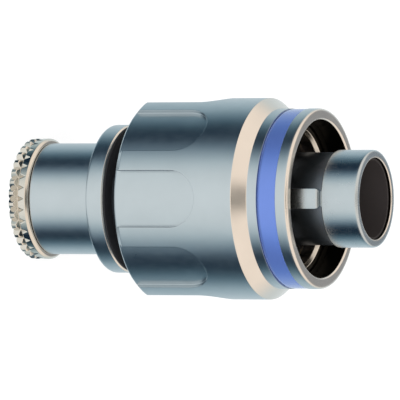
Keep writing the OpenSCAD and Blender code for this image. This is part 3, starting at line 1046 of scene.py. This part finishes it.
@dataclass
class LatchUnit:
    """The slotted latch collet, the coupling spring and the seal at the bottom of the mouth."""

    finger_count: int = 6
    slot_w: float = 2.5
    finger_r: float = 7.85
    finger_t: float = 0.4
    hook_h: float = 0.3
    hook_l: float = 1.3
    lead_in: float = 0.4
    bump_r: float = 7.95
    boss_r: float = 6.9
    boss: tuple[float, float] = (22.2, 24.0)
    base_l: float = 1.4
    wire_r: float = 0.25
    spring_r: float = 7.35
    spring_turns: float = 4.0
    spring_low: float = 14.95
    squashed: float = 0.587

    def build(self) -> None:
        """Builds the collet, the spring and the face seal."""
        slotted = clean(self._slotted(turned("latch_fingers", self._collet())))
        dressed("latch_fingers", slotted, [NICKEL], Slot.NICKEL, Body.PLUG, ["latch_collet"])
        spring = dressed("coil_spring", clean(self._coil(), 60), [STEEL], Slot.STEEL, Body.PLUG,
                         ["coupling_spring"])
        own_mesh(spring)
        seal = Span.of("face_seal")
        ring = rounded([(4.75, seal.low), (seal.radius, seal.low), (seal.radius, seal.high, 0.12),
                        (4.75, seal.high, 0.08)])
        dressed("mouth_seal", turned("mouth_seal", ring), [RUBBER], Slot.RUBBER, Body.PLUG,
                ["face_seal"])

    def _collet(self) -> Flat:
        """Outline of the collet before its slots are cut."""
        span = Span.of("latch_collet")
        inner = self.finger_r - self.finger_t
        hook = inner - self.hook_h
        hook_z = span.high - self.lead_in
        return rounded([
            (self.boss_r, self.boss[0]), (self.finger_r, self.boss[0], 0.05),
            (self.finger_r, hook_z - self.hook_l - 0.2), (self.bump_r, hook_z - self.hook_l, 0.03),
            (self.bump_r, span.high, 0.08), (hook + 0.24, span.high, 0.05), (hook, hook_z, 0.05),
            (hook, hook_z - self.hook_l, 0.04), (inner, hook_z - self.hook_l - self.hook_h),
            (inner, self.boss[0] + self.base_l), (self.boss_r, self.boss[0] + self.base_l)])

    def _slotted(self, mesh: bpy.types.Mesh) -> bpy.types.Mesh:
        """Cuts the round-ended slots between the fingers.

        Args:
            mesh: The turned collet.

        Returns:
            The slotted collet.
        """
        nodes = NodeTree("finger_slots")
        count = nodes.size("Finger Count", self.finger_count, "NodeSocketInt")
        width = nodes.size("Slot Width", self.slot_w * MM)
        reach = nodes.size("Reach", 9.0 * MM)
        root = nodes.size("Slot Root", (self.boss[1] + self.slot_w / 2) * MM)
        height = nodes.size("Slot Length", 8.0 * MM)
        middle = nodes.math("MULTIPLY", reach, 0.5)
        box = nodes.node("GeometryNodeMeshCube", Size=nodes.node(
            "ShaderNodeCombineXYZ", X=reach, Y=width, Z=height).outputs[0])
        lift = nodes.math("ADD", root, nodes.math("MULTIPLY", height, 0.5))
        box_at = nodes.node("GeometryNodeTransform", Geometry=box.outputs[0], Translation=nodes.node(
            "ShaderNodeCombineXYZ", X=middle, Z=lift).outputs[0])
        end = nodes.node("GeometryNodeMeshCylinder", Vertices=48,
                         Radius=nodes.math("MULTIPLY", width, 0.5), Depth=reach)
        end_at = nodes.node("GeometryNodeTransform", Geometry=end.outputs[0],
                            Rotation=(0.0, math.pi / 2, 0.0), Translation=nodes.node(
                                "ShaderNodeCombineXYZ", X=middle, Z=root).outputs[0])
        geometry = nodes.start.outputs[0]
        for shape in (box_at, end_at):
            turned_once = nodes.node("GeometryNodeTransform", Geometry=shape.outputs[0],
                                     Rotation=(0.0, 0.0, math.pi / 2 + math.pi / self.finger_count))
            cutters = nodes.turns(count, turned_once.outputs[0])
            cut = nodes.node("GeometryNodeMeshBoolean",
                             {"operation": "DIFFERENCE", "solver": "EXACT"})
            nodes.tree.links.new(geometry, cut.inputs[0])
            nodes.tree.links.new(cutters, cut.inputs[1])
            geometry = cut.outputs[0]
        nodes.finish(geometry, NICKEL.material())
        return nodes.run("latch_fingers", mesh)

    def _coil(self) -> bpy.types.Mesh:
        """Winds the spring's wire with a helix tree.

        Returns:
            The spring as a plain mesh.
        """
        span = Span.of("coupling_spring")
        nodes = NodeTree("spring_helix")
        turns = nodes.size("Turns", self.spring_turns)
        radius = nodes.size("Coil Radius", self.spring_r * MM)
        wire = nodes.size("Wire Radius", self.wire_r * MM)
        run = nodes.size("Run", (span.high - span.low - 2 * self.wire_r) * MM)
        start = nodes.size("Start Height", (span.low + self.wire_r) * MM)
        helix = nodes.node("GeometryNodeCurveSpiral", Resolution=64, Rotations=turns,
                           Start_Radius=radius, End_Radius=radius, Height=run)
        section = nodes.node("GeometryNodeCurvePrimitiveCircle", Resolution=16)
        nodes.tree.links.new(wire, section.inputs["Radius"])
        tube = nodes.node("GeometryNodeCurveToMesh", Curve=helix.outputs[0],
                          Profile_Curve=section.outputs[0], Fill_Caps=True)
        placed = nodes.node("GeometryNodeTransform", Geometry=tube.outputs[0],
                            Translation=nodes.node("ShaderNodeCombineXYZ", Z=start).outputs[0])
        nodes.finish(placed.outputs[0], STEEL.material())
        return nodes.run("coil_spring", bpy.data.meshes.new("empty"))


# ---- Contacts -------------------------------------------------------------------------------


@dataclass
class ContactUnit:
    """The insulating insert and its contacts with their solder cups."""

    outer_count: int = 7
    circle_r: float = 2.5
    pin_r: float = 0.38
    stem_r: float = 0.49
    cup_r: float = 0.6
    cup_bore: float = 0.45
    cup_l: float = 2.5
    insert_z: float = 27.0
    face_z: float = 31.0
    skirt_r: float = 3.97

    def build(self) -> None:
        """Builds the insert and the contacts."""
        span = Span.of("insert")
        outline = rounded([
            (0.0, self.insert_z), (span.radius, self.insert_z, 0.08), (span.radius, span.high, 0.04),
            (self.skirt_r, span.high, 0.06), (self.skirt_r, self.face_z), (0.0, self.face_z)])
        holes = self._row("holes", turned("hole", [
            (0.0, self.insert_z - 1), (self.stem_r, self.insert_z - 1),
            (self.stem_r, self.face_z + 1), (0.0, self.face_z + 1)], 32))
        mesh = combined(turned("contact_insert", outline), holes, Cut.TAKE_AWAY)
        dressed("contact_insert", mesh, [INSULATOR], Slot.INSULATOR, Body.PLUG, ["insert"])
        pins = clean(self._row("contacts", turned("contact", self._contact(), 32)))
        dressed("contacts", pins, [GOLD], Slot.GOLD, Body.PLUG,
                [f"contact_{i}" for i in range(1, self.outer_count + 2)])

    def _contact(self) -> Flat:
        """Outline of one contact, with its solder cup open at the rear."""
        tip = Span.of("contact_1").high
        low = self.insert_z - self.cup_l
        return rounded([
            (0.0, low + 0.8 * self.cup_l), (self.cup_bore, low + 0.8 * self.cup_l),
            (self.cup_bore, low), (self.cup_r, low, 0.04), (self.cup_r, self.insert_z, 0.04),
            (self.stem_r, self.insert_z), (self.stem_r, self.face_z), (self.pin_r, self.face_z),
            (self.pin_r, tip, 0.3), (0.0, tip)])

    def _row(self, name: str, mesh: bpy.types.Mesh) -> bpy.types.Mesh:
        """Sets one copy on the axis and the others round it.

        Args:
            name: The new mesh's name.
            mesh: One copy, on the axis.

        Returns:
            All copies in one mesh.
        """
        nodes = NodeTree(name + "_places")
        count = nodes.size("Outer Count", self.outer_count, "NodeSocketInt")
        radius = nodes.size("Circle Radius", self.circle_r * MM)
        shift = nodes.node("ShaderNodeCombineXYZ", Y=nodes.math("MULTIPLY", radius, -1.0))
        outer = nodes.node("GeometryNodeTransform", Geometry=nodes.start.outputs[0],
                           Translation=shift.outputs[0])
        around = nodes.turns(count, outer.outputs[0])
        whole = nodes.node("GeometryNodeJoinGeometry")
        nodes.tree.links.new(around, whole.inputs[0])
        nodes.tree.links.new(nodes.start.outputs[0], whole.inputs[0])
        nodes.finish(whole.outputs[0], GOLD.material())
        return clean(nodes.run(name, mesh))


@dataclass(frozen=True)
class KeptNodes:
    """CAD nodes whose shapes stay as they are and only get their finish."""

    finishes: tuple[tuple[str, Finish], ...] = (
        ("thrust_washer", STEEL), ("cable_gland", RUBBER), ("pressure_bush", NICKEL),
        ("back_oring", RUBBER), ("snap_ring", STEEL), ("spring_seat", NICKEL),
        ("carrier_left", NICKEL), ("carrier_right", NICKEL))

    def dress(self, nodes: dict[str, bpy.types.Object]) -> None:
        """Gives each kept node its finish.

        Args:
            nodes: The frame's CAD objects by name.
        """
        for name, finish in self.finishes:
            for place in nodes[name].material_slots:
                place.material = finish.material()
            LOG.info("%s: kept with %s", name, finish.name)


# ---- Studio ---------------------------------------------------------------------------------


@dataclass
class Studio:
    """The pale floor, the soft light, the surroundings that metal mirrors, and the camera."""

    tilt: float = 24.3
    lens: float = 700.0
    width_mm: float = 41.2
    aim: tuple[float, float, float] = (0.13, 0.0, 18.93)
    level: float = 0.62
    floor_half: float = 0.6
    walls: tuple[tuple[float, tuple[float, float, float]], ...] = (
        (0.0, (1.00, 1.03, 1.02)), (0.17, (0.93, 0.97, 0.96)), (0.25, (0.62, 0.73, 0.76)),
        (0.33, (0.16, 0.25, 0.32)), (0.40, (0.0, 0.015, 0.04)), (0.50, (0.0, 0.015, 0.035)),
        (0.59, (0.12, 0.22, 0.28)), (0.70, (0.50, 0.63, 0.68)), (0.85, (0.70, 0.80, 0.84)),
        (1.0, (0.85, 0.92, 0.95)))

    def build(self) -> None:
        """Builds everything round the plug."""
        scene = bpy.context.scene
        scene.view_settings.view_transform = "Standard"
        self._camera(scene)
        self._world(scene)
        self._lamps()
        self._floor()

    def _camera(self, scene: bpy.types.Scene) -> None:
        """Places a long-lens camera above the front of the plug, turned so that the nose is right."""
        data = bpy.data.cameras.new("camera")
        data.lens = self.lens
        camera = bpy.data.objects.new("camera", data)
        scene.collection.objects.link(camera)
        tilt = math.radians(self.tilt)
        back = Vector((0, -math.cos(tilt), math.sin(tilt)))
        right, up = Vector((0, math.sin(tilt), math.cos(tilt))), Vector((-1, 0, 0))
        distance = self.width_mm * self.lens / data.sensor_width
        turn = camera.matrix_world.to_3x3()
        turn.col[0], turn.col[1], turn.col[2] = right, up, back
        camera.rotation_mode = "QUATERNION"
        camera.rotation_quaternion = turn.to_quaternion()
        camera.location = (Vector(self.aim) + back * distance) * MM
        data.clip_start, data.clip_end = 0.01, 20.0
        scene.camera = camera

    def _world(self, scene: bpy.types.Scene) -> None:
        """Builds white surroundings in which metal mirrors soft boxes, gaps and a warm ceiling."""
        world = bpy.data.worlds.new("studio")
        scene.world = world
        world.use_nodes = True
        tree = world.node_tree
        tree.nodes.clear()
        add, link = tree.nodes.new, tree.links.new

        def sum_of(operation: str, *values: object) -> object:
            """Adds a Math node with linked or plain values and returns its output."""
            node = add("ShaderNodeMath")
            node.operation = operation
            for socket, value in zip(node.inputs, values):
                if isinstance(value, bpy.types.NodeSocket):
                    link(value, socket)
                else:
                    socket.default_value = value
            return node.outputs[0]

        def blend(share: object, a: object, b: object) -> object:
            """Mixes two colours and returns the result."""
            node = add("ShaderNodeMix")
            node.data_type = "RGBA"
            link(share, node.inputs["Factor"])
            for key, value in (("A", a), ("B", b)):
                if isinstance(value, bpy.types.NodeSocket):
                    link(value, node.inputs[key])
                else:
                    node.inputs[key].default_value = (*value, 1)
            return node.outputs["Result"]

        def band(value: object, start: float, end: float) -> object:
            """Rises smoothly from 0 to 1 between two values and returns the output."""
            node = add("ShaderNodeMapRange")
            node.interpolation_type = "SMOOTHSTEP"
            link(value, node.inputs["Value"])
            node.inputs["From Min"].default_value = start
            node.inputs["From Max"].default_value = end
            return node.outputs[0]

        def toward(direction: tuple[float, float, float]) -> object:
            """Gives how far a ray points in a direction and returns the output."""
            node = add("ShaderNodeVectorMath")
            node.operation = "DOT_PRODUCT"
            link(way, node.inputs[0])
            node.inputs[1].default_value = Vector(direction).normalized()
            return node.outputs["Value"]

        way = add("ShaderNodeTexCoord").outputs["Generated"]
        parts = add("ShaderNodeSeparateXYZ")
        link(way, parts.inputs[0])
        angle = sum_of("ARCTAN2", parts.outputs["X"], sum_of("MULTIPLY", parts.outputs["Y"], -1.0))
        share = sum_of("DIVIDE", sum_of("ABSOLUTE", angle), math.pi)
        ramp = add("ShaderNodeValToRGB")
        while len(ramp.color_ramp.elements) < len(self.walls):
            ramp.color_ramp.elements.new(0.5)
        for element, (place, colour) in zip(ramp.color_ramp.elements, self.walls):
            element.position, element.color = place, (*colour, 1)
        link(share, ramp.inputs[0])

        ceiling = blend(band(toward((0, -0.41, 0.91)), 0.955, 0.99), (1.05, 0.97, 0.88),
                        (0.16, 0.17, 0.16))
        ceiling = blend(band(toward((0, 0.911, 0.4115)), 0.80, 0.97), ceiling, (0.30, 0.32, 0.34))
        mirrored = blend(band(parts.outputs["Z"], 0.02, 0.38), ramp.outputs[0], ceiling)

        path = add("ShaderNodeLightPath")
        plain = add("ShaderNodeBackground")
        plain.inputs[0].default_value = (1, 1, 1, 1)
        plain.inputs[1].default_value = self.level
        studio = add("ShaderNodeBackground")
        link(mirrored, studio.inputs[0])
        white = add("ShaderNodeBackground")
        white.inputs[0].default_value = (1, 1, 1, 1)
        first, second = add("ShaderNodeMixShader"), add("ShaderNodeMixShader")
        link(path.outputs["Is Diffuse Ray"], first.inputs[0])
        link(studio.outputs[0], first.inputs[1])
        link(plain.outputs[0], first.inputs[2])
        link(path.outputs["Is Camera Ray"], second.inputs[0])
        link(first.outputs[0], second.inputs[1])
        link(white.outputs[0], second.inputs[2])
        out = add("ShaderNodeOutputWorld")
        link(second.outputs[0], out.inputs[0])

    def _lamps(self) -> None:
        """Adds two large soft lamps that are not mirrored as squares in the metal."""
        places = (((-0.10, -0.28, 0.30), 0.30, 1.1), ((0.22, -0.16, 0.22), 0.26, 0.6))
        for number, (place, size, watts) in enumerate(places):
            light = bpy.data.lights.new(f"soft_box_{number}", "AREA")
            light.size, light.energy = size, watts
            lamp = bpy.data.objects.new(f"soft_box_{number}", light)
            lamp.location = place
            aim = Vector((0, 0, 0.02)) - Vector(place)
            lamp.rotation_mode = "QUATERNION"
            lamp.rotation_quaternion = aim.to_track_quat("-Z", "Y")
            lamp.visible_glossy = False
            bpy.context.scene.collection.objects.link(lamp)

    def _floor(self) -> None:
        """Lays the pale floor, which shows white, keeps a soft shadow and is not mirrored."""
        half = self.floor_half / MM
        corners = [Vector((x, y, -0.02)) for x, y in
                   ((-half, -half), (half, -half), (half, half), (-half, half))]
        floor = make_object("floor", mesh_of("floor", corners, [[0, 1, 2, 3]]))
        material = bpy.data.materials.new("pale_floor")
        material.use_nodes = True
        tree = material.node_tree
        tree.nodes.clear()
        add, link = tree.nodes.new, tree.links.new
        path = add("ShaderNodeLightPath")
        matte = add("ShaderNodeBsdfDiffuse")
        matte.inputs[0].default_value = (0.30, 0.30, 0.30, 1)
        glow = add("ShaderNodeEmission")
        glow.inputs[0].default_value = (1, 1, 1, 1)
        scaled = add("ShaderNodeMath")
        scaled.operation = "MULTIPLY"
        scaled.inputs[1].default_value = 0.76
        link(path.outputs["Is Camera Ray"], scaled.inputs[0])
        link(scaled.outputs[0], glow.inputs[1])
        both = add("ShaderNodeAddShader")
        link(matte.outputs[0], both.inputs[0])
        link(glow.outputs[0], both.inputs[1])
        clear, seen = add("ShaderNodeBsdfTransparent"), add("ShaderNodeMixShader")
        link(path.outputs["Is Glossy Ray"], seen.inputs[0])
        link(both.outputs[0], seen.inputs[1])
        link(clear.outputs[0], seen.inputs[2])
        out = add("ShaderNodeOutputMaterial")
        link(seen.outputs[0], out.inputs[0])
        floor.data.materials.append(material)
        floor.visible_glossy = False


def main() -> None:
    """Builds the plug and its studio."""
    logging.basicConfig(level=logging.INFO, format="%(name)s: %(message)s")
    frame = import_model()
    for unit in (RearEnd(), NoseBody(), SleeveUnit(), LatchUnit(), ContactUnit()):
        unit.build()
    KeptNodes().dress(frame["nodes"])
    Studio().build()


if __name__ == "__main__":
    main()
